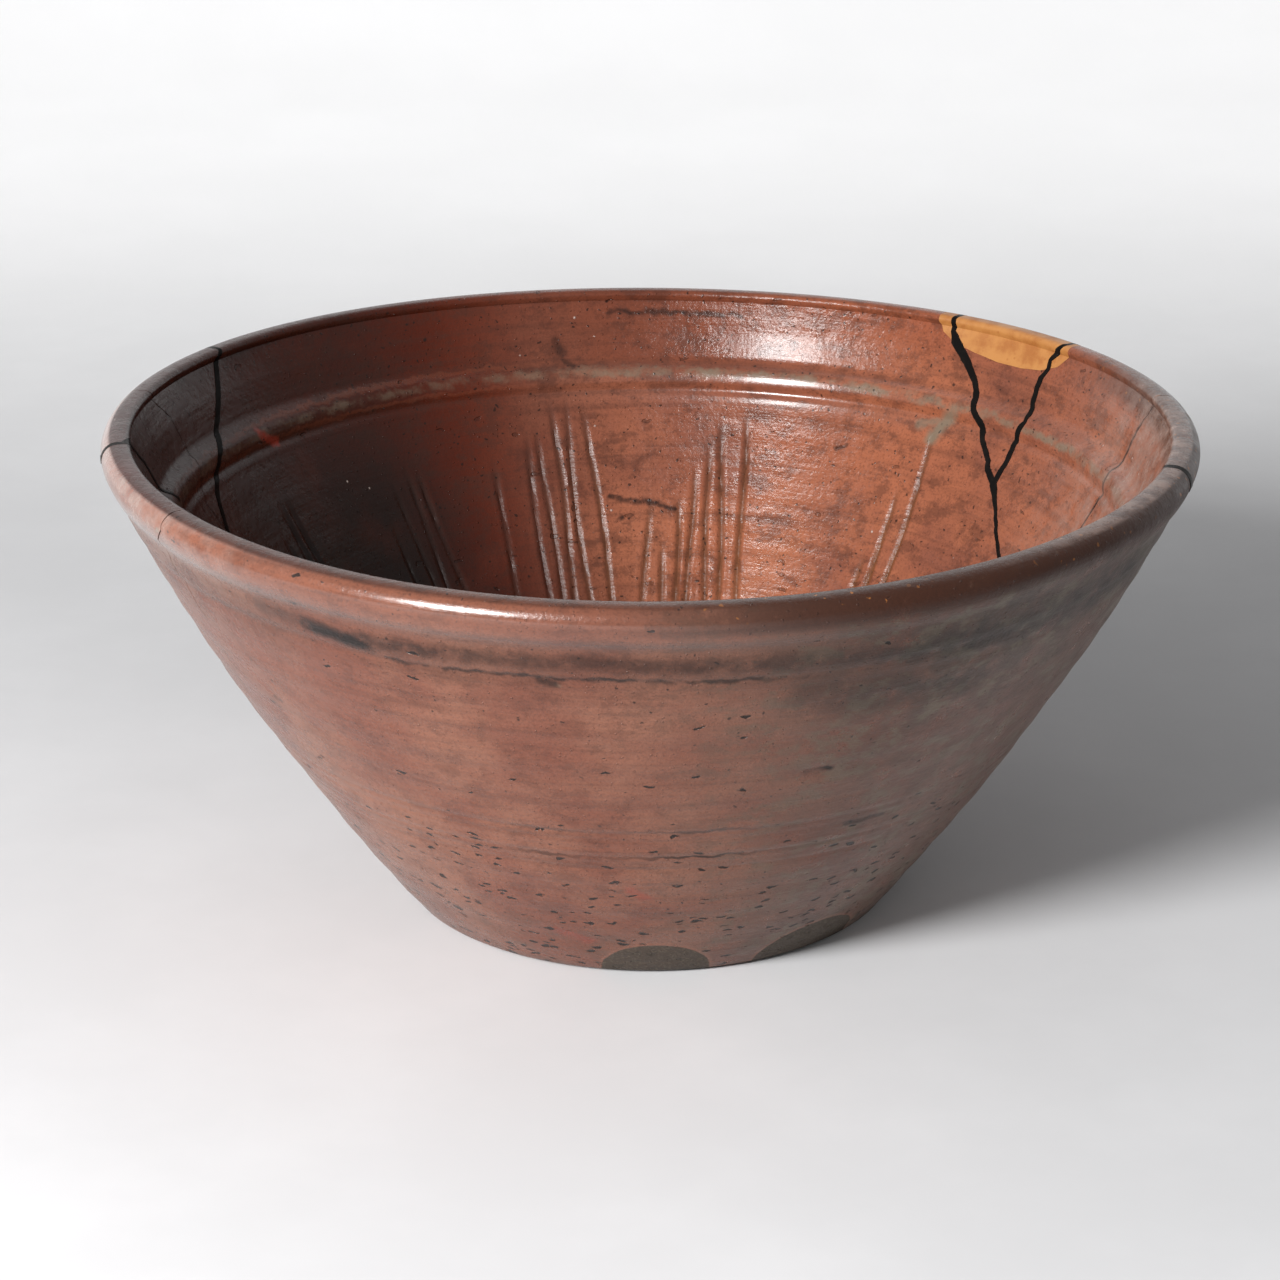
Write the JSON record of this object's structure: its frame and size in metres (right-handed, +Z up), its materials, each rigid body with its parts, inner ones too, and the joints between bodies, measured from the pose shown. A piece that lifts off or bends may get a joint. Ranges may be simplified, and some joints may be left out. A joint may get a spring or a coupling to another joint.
{
  "type": "cracked mortar bowl",
  "caption": "Conical stoneware mortar bowl, combed inside, its cracked rim rejoined with black lacquer and a flaked chip made up in ochre fill.",
  "frame": {"origin": "centre of the flat foot, where it rests on the table", "axes": "+Z up through the middle of the bowl; -Y is the side towards the viewer of the picture; +X is to the viewer's right"},
  "size_m": [0.2799, 0.2799, 0.1274],
  "materials": {
    "bowl_body": "satin",
    "wedge_sherd": "satin",
    "right_rear_sherd": "satin",
    "right_rim_sherd": "satin",
    "left_rear_sherd": "satin",
    "left_rim_sherd": "satin",
    "lacquer_wedge_seam": "gloss",
    "lacquer_left_seam": "gloss",
    "lacquer_rim_seam_left": "gloss",
    "lacquer_rim_seam_right": "gloss",
    "fill_left": "satin",
    "fill_middle": "satin",
    "fill_right": "satin"
  },
  "bodies": {
    "root": {"bowl_body": "bowl_body", "wedge_sherd": "wedge_sherd", "right_rear_sherd": "right_rear_sherd", "right_rim_sherd": "right_rim_sherd", "left_rear_sherd": "left_rear_sherd", "left_rim_sherd": "left_rim_sherd", "lacquer_wedge_seam": "lacquer_wedge_seam", "lacquer_left_seam": "lacquer_left_seam", "lacquer_rim_seam_left": "lacquer_rim_seam_left", "lacquer_rim_seam_right": "lacquer_rim_seam_right", "fill_left": "fill_left", "fill_middle": "fill_middle", "fill_right": "fill_right"}
  },
  "joints": []
}
